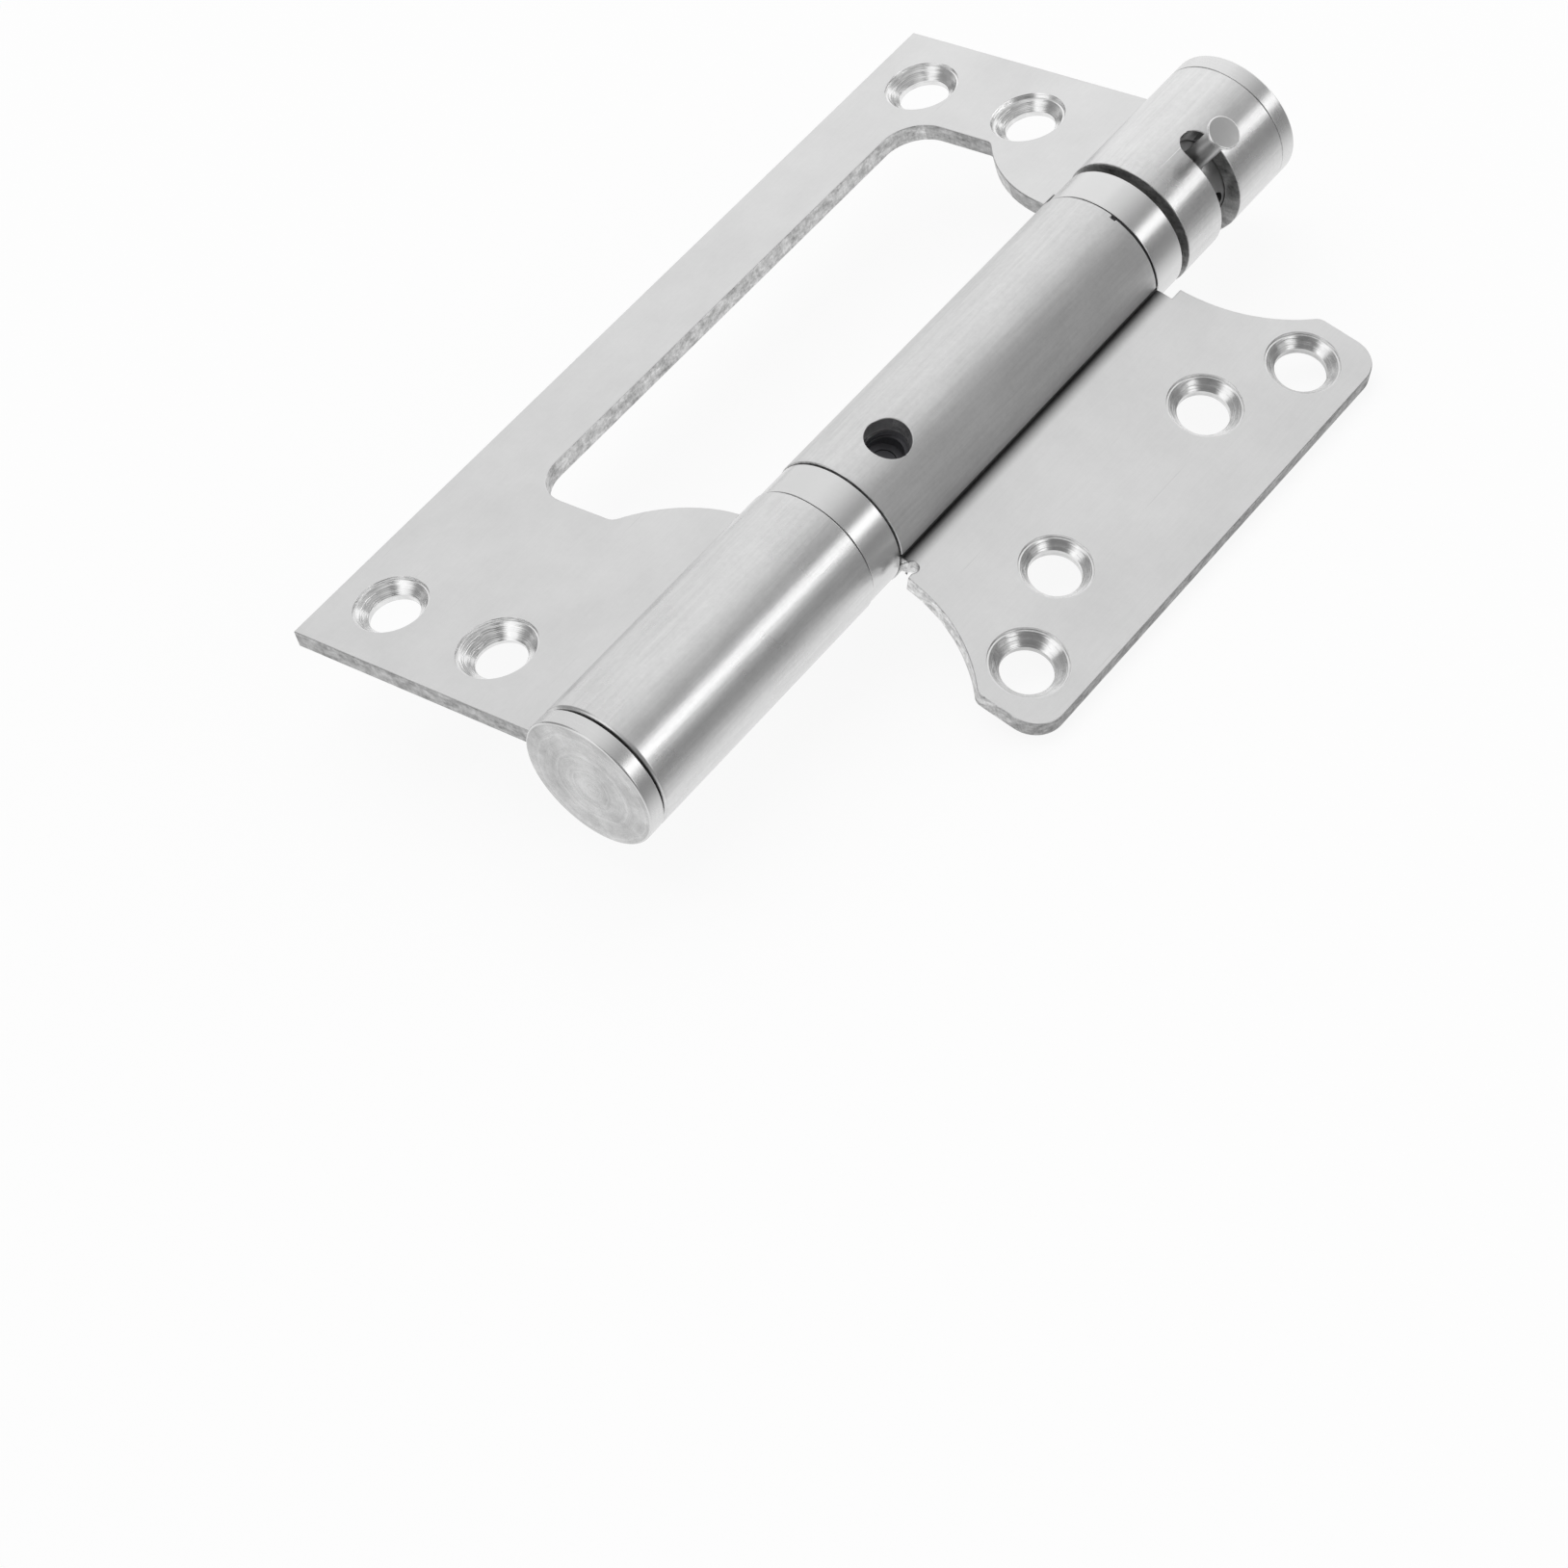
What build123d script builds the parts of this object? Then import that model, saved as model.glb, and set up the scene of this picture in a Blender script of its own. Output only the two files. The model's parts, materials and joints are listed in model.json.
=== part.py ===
from build123d import *
from math import asin, cos, degrees, radians, sin, sqrt
import os

# Self-closing flush butt hinge, lying open with the countersunk faces up.
# The pieces are drawn about the barrel: Y runs along the pin, Z out of the
# countersunk face, and the large leaf lies towards -X. They are moved as they
# are written, so that the origin is the centre of the large leaf's four screw
# holes on its back face.

# Clearances: running, standing, thin washer gap
RUN = 0.05
STAND = 0.03
GAP = 0.1

# Sheet and barrel
SHEET = 2.4
BARREL_R = 9.2
BEND_INSIDE_R = 1.0
SEAM_ANGLE = 10.4

# Lengths along the barrel
LEAF_LENGTH = 125.0
LOWER_KNUCKLE = 39.2
LOWER_RING_ROOM = 5.65
UPPER_RING_ROOM = 5.6
GROOVE = 1.35
UPPER_KNUCKLE = 20.65
CAP_THICKNESS = 2.5
CAP_ROUND = 0.3
KNUCKLE_CHAMFER = 0.3
ROOT_SPAN = 36.0
LOWER_CAP_GAP = 0.22
UPPER_CAP_GAP = 0.08
LOWER_SPIGOT = 4.0
UPPER_SPIGOT = 3.3
THIN_WASHER = 0.15
WASHER = 0.25

# Large leaf: width, border outside the window, and its screw holes
OUTER_WIDTH = 50.0
BORDER = 10.6
SCREW_EDGE = 8.25
SCREW_ROWS = 17.6
SCREW_END = 9.0
WINDOW_CORNER = 5.2
WINDOW_END_CORNER = 1.6
SHOULDER_R = 19.8
SHOULDER_X = -10.0
ROOT_REACH = 4.85
RELIEF = 2.25

# Small leaf: it nests in the window with these gaps
NEST_SIDE = 2.8
NEST_END = 2.95
NEST_SHOULDER = 3.0
EAR = 9.5
INNER_CORNER = 4.0
NECK_RELIEF = 2.1
BEND_RELIEF_R = 0.85
BEND_RELIEF_IN = 0.55
BEND_RELIEF_OUT = 0.35
INNER_ANGLE = -21.3
NEAR_HOLE = (12.8, 15.5)
CORNER_HOLE = (7.35, 7.15)
DRESSED_ANGLE = 62.0
DRESSED_DEPTH = 0.22
BITE_ANGLE = 4.5
BITE_DEPTH = 0.5

# Screw holes: wide radius of each countersink, as cut
SCREW_R = 3.3
SMALL_LIP = 0.12
DEEP_LIP = 0.3
OUTER_SINKS = {
    ("edge", "far"): 4.93,
    ("edge", "near"): 4.87,
    ("barrel", "far"): 4.95,
    ("barrel", "near"): 5.2,
}
INNER_SINKS = {
    ("near hole", "far"): 4.82,
    ("near hole", "near"): 4.62,
    ("corner", "far"): 4.76,
    ("corner", "near"): 4.98,
}

# Slot, tension pin and collar
SLOT_OFFSET = 9.15
SLOT_HALF = 2.03
SLOT_ENDS = (-49.4, 53.4)
PIN_ANGLE = 46.0
PIN_R = 1.45
PIN_HEAD_R = 2.2
PIN_HEAD = 0.55
PIN_STAND = 5.8
PIN_FOOT = 3.8
COLLAR_HOLES = 6
COLLAR_SHOULDER = 3.7
JOURNAL_R = 4.0

# Running gear
SPINDLE_R = 3.0
LINER_WALL = 0.75
BUSH_WALL = 0.74
WIRE_RADIAL = 1.5
WIRE_AXIAL = 2.2
COIL_TURNS = 7
ANCHOR_LENGTH = 15.15
KEY_R = 1.5
KEY_OFFSET = 7.85
KEY_ANGLE = 66.8
ACCESS_R = 2.9
LEG_LENGTH = 2.4
LINER_SHORT = 0.8
BUSH_LENGTH = 1.6
SPINDLE_SHORT = 3.5
DAMPER_END = 9.2
DAMPER_FLOOR = 2.0
RETAINER_LENGTH = 2.0
SEAL_LENGTH = 1.7
ROTOR_END_ROOM = 4.0
FLAT_HALF = 2.3
SPINDLE_START = 8.0

# Stations and radii that follow from them
BORE_R = BARREL_R - SHEET
CENTRE_START = LOWER_KNUCKLE + LOWER_RING_ROOM
UPPER_KNUCKLE_START = LEAF_LENGTH - UPPER_KNUCKLE
UPPER_RING_END = UPPER_KNUCKLE_START - GROOVE
CENTRE_END = UPPER_RING_END - UPPER_RING_ROOM
CENTRE_HALF = (CENTRE_END - CENTRE_START) / 2
SLOT_CENTRE = UPPER_KNUCKLE_START + SLOT_OFFSET
INNER_WIDTH = OUTER_WIDTH - BORDER - NEST_SIDE
INNER_HALF = CENTRE_HALF + EAR
WINDOW_HALF = INNER_HALF + NEST_END
ROOT_HALF = CENTRE_HALF + ROOT_REACH
SHOULDER_OFFSET = ROOT_HALF + SHOULDER_R - 0.05
LINER_R = BORE_R - STAND
LINER_BORE_R = LINER_R - LINER_WALL
PLUG_R = LINER_BORE_R - STAND
TAIL_R = PLUG_R - BUSH_WALL - RUN
COIL_R = (SPINDLE_R + LINER_BORE_R) / 2
COLLAR_R = BORE_R - RUN
DAMPER_BORE_R = (SPINDLE_R + BORE_R) / 2 + 2 * RUN
BEND_X = sqrt((BARREL_R + BEND_INSIDE_R) ** 2 - (BEND_INSIDE_R + SHEET / 2) ** 2)


def station(value):
    # Distance from the near edge of the large leaf to a place along Y.
    return value - LEAF_LENGTH / 2


def polar(radius, angle):
    return (radius * cos(radians(angle)), radius * sin(radians(angle)))


def turned(profile):
    # Turned piece about the barrel axis from (radius, station) corners.
    corners = [(r, station(s)) for r, s in profile]
    return revolve(make_face(Polyline(*corners, close=True)), Axis.Y, 360)


def rod(radius, start, end):
    return turned([(0, start), (radius, start), (radius, end), (0, end)])


def tube(outer, inner, start, end, edge=0.0):
    corners = [(inner, start), (outer - edge, start)]
    if edge > 0:
        corners = corners + [(outer, start + edge), (outer, end - edge)]
    return turned(corners + [(outer - edge, end), (inner, end)])


def sector(inner, outer, start, end, low, high):
    # Part of a tube between two angles from +X.
    a, b = station(start), station(end)
    face = make_face(Polyline((inner, a), (outer, a), (outer, b), (inner, b), close=True))
    return Rot(0, -high, 0) * revolve(face, Axis.Y, high - low)


def radial(shape, angle, where):
    # Stands a piece drawn along Z on the barrel, pointing outwards at an angle from +X.
    return Pos(0, station(where), 0) * Rot(0, 90 - angle, 0) * shape


def radial_rod(radius, low, high, angle, where):
    height = high - low
    return radial(Pos(0, 0, low + height / 2) * Cylinder(radius, height), angle, where)


def rolled_strip(start, end, flat):
    # Sheet that bends down from the leaf, goes under the barrel and round to the seam on top.
    bend_r = BEND_INSIDE_R + SHEET / 2
    mid_r = BARREL_R - SHEET / 2
    touch = -degrees(asin(bend_r / (mid_r + bend_r)))

    def on_bend(radius, angle):
        x, z = polar(radius, angle)
        return (BEND_X + x, z - bend_r)

    wide = bend_r + SHEET / 2
    tight = bend_r - SHEET / 2
    middle = (SEAM_ANGLE + 360 + touch) / 2
    half_turn = (90 + 180 + touch) / 2
    top_far = (BEND_X + flat, SHEET / 2)
    top_near = (BEND_X, SHEET / 2)
    low_near = (BEND_X, -SHEET / 2)
    low_far = (BEND_X + flat, -SHEET / 2)
    edges = [
        Line(top_far, top_near),
        ThreePointArc(top_near, on_bend(wide, half_turn), polar(BORE_R, touch)),
        ThreePointArc(polar(BORE_R, touch), polar(BORE_R, middle), polar(BORE_R, SEAM_ANGLE)),
        Line(polar(BORE_R, SEAM_ANGLE), polar(BARREL_R, SEAM_ANGLE)),
        ThreePointArc(polar(BARREL_R, SEAM_ANGLE), polar(BARREL_R, middle), polar(BARREL_R, touch)),
        ThreePointArc(polar(BARREL_R, touch), on_bend(tight, half_turn), low_near),
        Line(low_near, low_far),
        Line(low_far, top_far),
    ]
    # The section is drawn in X and Y, then stood up so that its Y becomes Z.
    strip = extrude(make_face(edges), amount=end - start, dir=(0, 0, -1))
    return Pos(0, station(start), 0) * Rot(90, 0, 0) * strip


def plate(near_x, far_x, low_y, high_y):
    width = far_x - near_x
    length = high_y - low_y
    return Pos((near_x + far_x) / 2, (low_y + high_y) / 2, 0) * Box(width, length, SHEET)


def disc(radius, x, y):
    return Pos(x, y, 0) * Cylinder(radius, 3 * SHEET)


def screw_hole(x, y, wide_r, lip):
    # Through hole with a turned countersink from the upper face, with a small step inside its lip.
    depth = wide_r - SCREW_R
    outline = [
        (0, SHEET),
        (wide_r, SHEET),
        (wide_r, 0),
        (wide_r - lip, -lip - 0.25),
        (wide_r - lip - 0.2, -lip - 0.25),
        (SCREW_R, -depth - 0.05),
        (SCREW_R, -2 * SHEET),
        (0, -2 * SHEET),
    ]
    cutter = revolve(make_face(Polyline(*outline, close=True)), Axis.Y, 360)
    return Pos(x, y, SHEET / 2) * Rot(90, 0, 0) * cutter


# Large leaf: plate with the window
middle = station((CENTRE_START + CENTRE_END) / 2)
half_length = LEAF_LENGTH / 2
outer_leaf = plate(-OUTER_WIDTH, -BEND_X, -half_length, half_length)
window_edge = -OUTER_WIDTH + BORDER
broad_near = SHOULDER_X + 1
broad = Pos((window_edge + broad_near) / 2, middle, 0) * Box(
    broad_near - window_edge, 2 * WINDOW_HALF, 3 * SHEET
)
window = fillet(broad.edges().filter_by(Axis.Z).sort_by(Axis.X)[:2], WINDOW_CORNER)
relief_x = BARREL_R + RELIEF
for side in (-1, 1):
    window = window - disc(SHOULDER_R, SHOULDER_X, middle + side * SHOULDER_OFFSET)
    lip_length = SHOULDER_R
    lip_middle = middle + side * (ROOT_HALF + lip_length / 2)
    window = window - Pos(0, lip_middle, 0) * Box(2 * relief_x, lip_length, 3 * SHEET)
# Round the inside corners where the window's ends meet the shoulders.
meet_x = SHOULDER_X - sqrt(SHOULDER_R**2 - (SHOULDER_OFFSET - WINDOW_HALF) ** 2)
ends = []
for edge in window.edges().filter_by(Axis.Z):
    place = edge.center()
    if abs(place.X - meet_x) < 0.5 and abs(abs(place.Y - middle) - WINDOW_HALF) < 0.5:
        ends.append(edge)
window = fillet(ends, WINDOW_END_CORNER)
outer_leaf = outer_leaf - window

# Relief beside each knuckle, then the two knuckles
near_strip_end = station(LOWER_KNUCKLE)
far_strip_start = station(UPPER_KNUCKLE_START)
gap_length = far_strip_start - near_strip_end
relief_width = relief_x - BARREL_R / 2
relief = Pos(-relief_x + relief_width / 2, near_strip_end + gap_length / 2, 0) * Box(
    relief_width, gap_length, 3 * SHEET
)
outer_leaf = outer_leaf - relief
for start, end in ((0, LOWER_KNUCKLE), (UPPER_KNUCKLE_START, LEAF_LENGTH)):
    outer_leaf = outer_leaf + Rot(0, 180, 0) * rolled_strip(start, end, SHEET / 2)

edge_row = -OUTER_WIDTH + SCREW_EDGE
barrel_row = edge_row + SCREW_ROWS
for row, x in (("edge", edge_row), ("barrel", barrel_row)):
    for end, y_side in (("near", -1), ("far", 1)):
        lip = DEEP_LIP if (row, end) == ("barrel", "far") else SMALL_LIP
        y = y_side * (half_length - SCREW_END)
        outer_leaf = outer_leaf - screw_hole(x, y, OUTER_SINKS[row, end], lip)

# Chamfer round the long knuckle's near end, left off where the leaf joins it
near_edge = station(0)
beyond = BARREL_R + 0.2
chamfer_profile = Polyline(
    (BARREL_R - KNUCKLE_CHAMFER, near_edge),
    (beyond, near_edge),
    (beyond, near_edge + KNUCKLE_CHAMFER + 0.2),
    (BARREL_R, near_edge + KNUCKLE_CHAMFER),
    close=True,
)
chamfer_ring = revolve(make_face(chamfer_profile), Axis.Y, 360 - ROOT_SPAN)
outer_leaf = outer_leaf - Rot(0, ROOT_SPAN / 2 - 180, 0) * chamfer_ring

# Slot for the tension pin in the far knuckle
slot = sector(
    BORE_R - 1, BARREL_R + 1, SLOT_CENTRE - SLOT_HALF, SLOT_CENTRE + SLOT_HALF, *SLOT_ENDS
)
for angle in SLOT_ENDS:
    slot = slot + radial_rod(SLOT_HALF, BORE_R - 2, BARREL_R + 1, angle, SLOT_CENTRE)
outer_leaf = outer_leaf - slot

# Small leaf: plate, neck and centre knuckle
inner_flat = plate(BEND_X, INNER_WIDTH, middle - INNER_HALF, middle + INNER_HALF)
inner_flat = fillet(inner_flat.edges().filter_by(Axis.Z).sort_by(Axis.X)[-2:], INNER_CORNER)
neck_x = BARREL_R + NECK_RELIEF
for side in (-1, 1):
    inner_flat = inner_flat - disc(
        SHOULDER_R + NEST_SHOULDER, -SHOULDER_X, middle + side * SHOULDER_OFFSET
    )
    notch_length = INNER_HALF
    notch_middle = middle + side * (CENTRE_HALF + notch_length / 2)
    notch = Pos((neck_x + BARREL_R / 2) / 2, notch_middle, 0) * Box(
        neck_x - BARREL_R / 2, notch_length, 3 * SHEET
    )
    inner_flat = inner_flat - notch
inner_flat = inner_flat + rolled_strip(CENTRE_START, CENTRE_END, SHEET / 2)
# Round bend relief in the inner corner of the near notch
relief_y = station(CENTRE_START - BEND_RELIEF_OUT)
inner_flat = inner_flat - disc(BEND_RELIEF_R, neck_x - BEND_RELIEF_IN, relief_y)
for end, side in (("near", -1), ("far", 1)):
    near_x = INNER_WIDTH - NEAR_HOLE[0]
    near_y = middle + side * NEAR_HOLE[1]
    inner_flat = inner_flat - screw_hole(near_x, near_y, INNER_SINKS["near hole", end], SMALL_LIP)
    corner_x = INNER_WIDTH - CORNER_HOLE[0]
    corner_y = middle + side * (INNER_HALF - CORNER_HOLE[1])
    inner_flat = inner_flat - screw_hole(corner_x, corner_y, INNER_SINKS["corner", end], SMALL_LIP)
# The leaf droops about the barrel until its edge is level with the barrel's underside.
inner_leaf = Rot(0, -INNER_ANGLE, 0) * inner_flat
# The far edge of the centre knuckle is dressed back from the crown to the seam.
dressed = (SEAM_ANGLE + INNER_ANGLE - 1.0, DRESSED_DEPTH)
bite = (DRESSED_ANGLE - BITE_ANGLE, BITE_DEPTH)
for low, depth in (dressed, bite):
    inner_leaf = inner_leaf - sector(
        BORE_R - 0.5, BARREL_R + 0.5, CENTRE_END - depth, CENTRE_END + 1, low, DRESSED_ANGLE
    )
key_station = CENTRE_START + KEY_OFFSET
inner_leaf = inner_leaf - radial_rod(ACCESS_R, BORE_R - 1.5, BARREL_R + 2, KEY_ANGLE, key_station)

# End caps: turned discs with spigots in the knuckles
spigot_neck = BORE_R - 0.4
lower_face = -LOWER_CAP_GAP - CAP_THICKNESS
lower_end_cap = turned(
    [
        (0, lower_face),
        (BARREL_R - CAP_ROUND, lower_face),
        (BARREL_R - CAP_ROUND / 4, lower_face + CAP_ROUND / 2),
        (BARREL_R, lower_face + 1.3 * CAP_ROUND),
        (BARREL_R, -LOWER_CAP_GAP - 0.12),
        (BARREL_R - 0.12, -LOWER_CAP_GAP),
        (spigot_neck, -LOWER_CAP_GAP),
        (spigot_neck, 0.3),
        (BORE_R - STAND, 0.3),
        (BORE_R - STAND, LOWER_SPIGOT),
        (0, LOWER_SPIGOT),
    ]
)
upper_face = LEAF_LENGTH + UPPER_CAP_GAP + CAP_THICKNESS
upper_end_cap = turned(
    [
        (0, upper_face),
        (BARREL_R - CAP_ROUND, upper_face),
        (BARREL_R - CAP_ROUND / 4, upper_face - CAP_ROUND / 2),
        (BARREL_R, upper_face - 1.3 * CAP_ROUND),
        (BARREL_R, LEAF_LENGTH + UPPER_CAP_GAP + 0.08),
        (BARREL_R - 0.08, LEAF_LENGTH + UPPER_CAP_GAP),
        (spigot_neck, LEAF_LENGTH + UPPER_CAP_GAP),
        (spigot_neck, LEAF_LENGTH - 0.3),
        (BORE_R - STAND, LEAF_LENGTH - 0.3),
        (BORE_R - STAND, LEAF_LENGTH - UPPER_SPIGOT),
        (0, LEAF_LENGTH - UPPER_SPIGOT),
    ]
)

# Bearing rings and thrust washers
bearing_r = BARREL_R - 0.15
ring_edge = 0.1
lower_ring = (LOWER_KNUCKLE + THIN_WASHER, CENTRE_START - WASHER)
lower_bearing_ring = tube(bearing_r, SPINDLE_R + RUN, *lower_ring, edge=ring_edge)
upper_ring = (CENTRE_END + WASHER, UPPER_RING_END)
upper_bearing_ring = tube(bearing_r, TAIL_R + RUN, *upper_ring, edge=ring_edge)
washer_r = BARREL_R - 0.8
lower_thrust_washer = tube(washer_r, SPINDLE_R + RUN, LOWER_KNUCKLE, lower_ring[0])
centre_thrust_washer = tube(washer_r, SPINDLE_R + RUN, lower_ring[1], CENTRE_START)
upper_thrust_washer = tube(washer_r, TAIL_R + RUN, CENTRE_END, upper_ring[0])

# Centre knuckle: liner, anchor plug, key and bush
liner_end = CENTRE_END - LINER_SHORT
knuckle_liner = tube(LINER_R, LINER_BORE_R, CENTRE_START + GAP, liner_end)
# The liner's hole was drilled a little off the one in the knuckle.
knuckle_liner = knuckle_liner - radial_rod(
    ACCESS_R - 0.15, PLUG_R - 1, BARREL_R, KEY_ANGLE - 1.0, key_station + 0.12
)
anchor_end = CENTRE_START + ANCHOR_LENGTH
anchor = tube(PLUG_R, SPINDLE_R + STAND, CENTRE_START + GAP, anchor_end)
key_half = PLUG_R - 1.6
key_bore = radial_rod(KEY_R + STAND, -PLUG_R - 2, PLUG_R + 2, KEY_ANGLE, key_station)
anchor = anchor - key_bore
anchor = anchor - radial_rod(ACCESS_R - 0.5, key_half + 0.2, PLUG_R + 2, KEY_ANGLE, key_station)
leg_room = WIRE_RADIAL + 0.3
leg_middle = station(anchor_end - LEG_LENGTH / 2)
spring_anchor = anchor - Pos(COIL_R, leg_middle, 0) * Box(leg_room, LEG_LENGTH, leg_room)
anchor_key = radial_rod(KEY_R, -key_half, key_half, KEY_ANGLE, key_station)
centre_bush = tube(PLUG_R, TAIL_R + RUN, liner_end - BUSH_LENGTH, liner_end)

# Spindle: pivot rod with flats for the damper rotor at its near end
spindle_end = SLOT_CENTRE - SPINDLE_SHORT
tip = 0.4
spindle = turned(
    [
        (0, SPINDLE_START),
        (SPINDLE_R - tip, SPINDLE_START),
        (SPINDLE_R, SPINDLE_START + tip),
        (SPINDLE_R, spindle_end - tip),
        (SPINDLE_R - tip, spindle_end),
        (0, spindle_end),
    ]
)
damper_end = LOWER_KNUCKLE - DAMPER_END
flats_end = damper_end - 8.0


def flats(clearance, start, end):
    # Two blocks that leave a flat-sided tongue between them.
    blocks = []
    for side in (-1, 1):
        away = side * (FLAT_HALF + clearance + SPINDLE_R / 2)
        middle_y = station((start + end) / 2)
        blocks.append(Pos(0, middle_y, away) * Box(4 * SPINDLE_R, end - start, SPINDLE_R))
    return blocks


for block in flats(0, SPINDLE_START - 1, flats_end):
    spindle = spindle - block
spindle = spindle - key_bore

# Closing spring of flat wire, with a straight leg at each end
coil_start = anchor_end + WIRE_AXIAL / 2 + 0.2
coil_end = CENTRE_END - 5.6
pitch = (coil_end - coil_start) / COIL_TURNS
coil_path = Helix(pitch, coil_end - coil_start, COIL_R)
wire_plane = Plane(origin=coil_path @ 0, x_dir=(1, 0, 0), z_dir=coil_path % 0)
wire = wire_plane * Rectangle(WIRE_RADIAL, WIRE_AXIAL)
coil = Pos(0, station(coil_start), 0) * Rot(-90, 0, 0) * sweep(wire, path=coil_path, is_frenet=True)
leg_width = WIRE_RADIAL - 0.1
near_leg = (anchor_end - LEG_LENGTH + 0.2, coil_start)
far_leg = (coil_end, coil_end + WIRE_AXIAL / 2 + LEG_LENGTH)
torsion_spring = coil
for start, end in (near_leg, far_leg):
    torsion_spring = torsion_spring + Pos(COIL_R, station((start + end) / 2), 0) * Box(
        leg_width, end - start, leg_width
    )

# Adjusting collar: tail in the centre knuckle, neck in the groove, body under the slot
tail_start = coil_end + WIRE_AXIAL / 2 + 0.2
body_start = UPPER_RING_END + STAND
body_end = SLOT_CENTRE + COLLAR_SHOULDER
journal_end = LEAF_LENGTH - UPPER_SPIGOT - 0.5
neck_r = COLLAR_R - 0.5
adjusting_collar = turned(
    [
        (SPINDLE_R + RUN, tail_start),
        (TAIL_R, tail_start),
        (TAIL_R, body_start),
        (neck_r, body_start),
        (neck_r, UPPER_KNUCKLE_START + 0.3),
        (COLLAR_R, UPPER_KNUCKLE_START + 0.6),
        (COLLAR_R, body_end),
        (JOURNAL_R, body_end),
        (JOURNAL_R, journal_end),
        (0, journal_end),
        (0, spindle_end + 0.6),
        (SPINDLE_R + RUN, spindle_end + 0.6),
    ]
)
# An open notch in the tail takes the spring's far leg.
notch_depth = TAIL_R - COIL_R + leg_room
notch_x = COIL_R + (notch_depth - leg_room) / 2
notch_middle = station(tail_start + LEG_LENGTH / 2)
adjusting_collar = adjusting_collar - Pos(notch_x, notch_middle, 0) * Box(
    notch_depth, LEG_LENGTH, leg_room
)
for i in range(COLLAR_HOLES):
    adjusting_collar = adjusting_collar - radial_rod(
        PIN_R + RUN, PIN_FOOT - STAND, BORE_R + 1, PIN_ANGLE + 360 * i / COLLAR_HOLES, SLOT_CENTRE
    )
upper_bush = tube(BORE_R - STAND, JOURNAL_R + RUN, body_end + GAP, journal_end + GAP)

# Tension pin: shank with a thin flat head
pin_top = BARREL_R + PIN_STAND
pin_profile = [
    (0, PIN_FOOT),
    (PIN_R - 0.35, PIN_FOOT),
    (PIN_R, PIN_FOOT + 0.35),
    (PIN_R, pin_top - PIN_HEAD),
    (PIN_HEAD_R - 0.1, pin_top - PIN_HEAD),
    (PIN_HEAD_R, pin_top - PIN_HEAD + 0.1),
    (PIN_HEAD_R, pin_top - 0.12),
    (PIN_HEAD_R - 0.12, pin_top),
    (0, pin_top),
]
upright_pin = revolve(make_face(Polyline(*pin_profile, close=True)), Axis.Y, 360)
tension_pin = radial(Rot(90, 0, 0) * upright_pin, PIN_ANGLE, SLOT_CENTRE)

# Damper in the long knuckle, worked by the spindle
body_r = BORE_R - STAND
damper_start = LOWER_SPIGOT + GAP
damper_body = tube(body_r, DAMPER_BORE_R, damper_start, damper_end)
damper_body = damper_body + rod((DAMPER_BORE_R + body_r) / 2, damper_start, damper_start + DAMPER_FLOOR)
rotor_r = DAMPER_BORE_R - RUN
rotor_start = damper_start + DAMPER_FLOOR + 0.8
rotor_end = damper_end - ROTOR_END_ROOM
rotor = rod(rotor_r, rotor_start, rotor_end)
socket = rod(SPINDLE_R + STAND, SPINDLE_START - GAP, flats_end)
for block in flats(STAND, SPINDLE_START - 1, flats_end + 1):
    socket = socket - block
damper_rotor = rotor - socket - rod(SPINDLE_R + STAND, flats_end - GAP, rotor_end + 1)
# Square-cut seal between the spindle and the body
seal_outer = DAMPER_BORE_R - 2 * RUN
seal_end = damper_end - RETAINER_LENGTH - GAP
damper_seal = tube(seal_outer, SPINDLE_R + STAND, seal_end - SEAL_LENGTH, seal_end, edge=0.25)
damper_retainer = tube(
    DAMPER_BORE_R - STAND, SPINDLE_R + RUN, damper_end - RETAINER_LENGTH, damper_end
)
lower_bush = tube(body_r, SPINDLE_R + RUN, damper_end + 0.6, LOWER_KNUCKLE - 0.2)

PARTS = {
    "outer_leaf": outer_leaf,
    "inner_leaf": inner_leaf,
    "lower_end_cap": lower_end_cap,
    "upper_end_cap": upper_end_cap,
    "lower_bearing_ring": lower_bearing_ring,
    "upper_bearing_ring": upper_bearing_ring,
    "lower_thrust_washer": lower_thrust_washer,
    "centre_thrust_washer": centre_thrust_washer,
    "upper_thrust_washer": upper_thrust_washer,
    "knuckle_liner": knuckle_liner,
    "spring_anchor": spring_anchor,
    "anchor_key": anchor_key,
    "centre_bush": centre_bush,
    "spindle": spindle,
    "torsion_spring": torsion_spring,
    "adjusting_collar": adjusting_collar,
    "upper_bush": upper_bush,
    "tension_pin": tension_pin,
    "damper_body": damper_body,
    "damper_rotor": damper_rotor,
    "damper_seal": damper_seal,
    "damper_retainer": damper_retainer,
    "lower_bush": lower_bush,
}

# Origin: centre of the large leaf's four screw holes, on its back face
to_frame = Pos(-(edge_row + barrel_row) / 2, 0, SHEET / 2)

os.makedirs("parts", exist_ok=True)
for name, shape in PARTS.items():
    export_step(to_frame * shape, f"parts/{name}.step")
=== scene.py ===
import json
from math import cos, pi, radians, sin

import bmesh
import bpy
from bpy.props import FloatProperty, FloatVectorProperty, IntProperty, PointerProperty
from mathutils import Matrix, Quaternion, Vector


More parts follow.
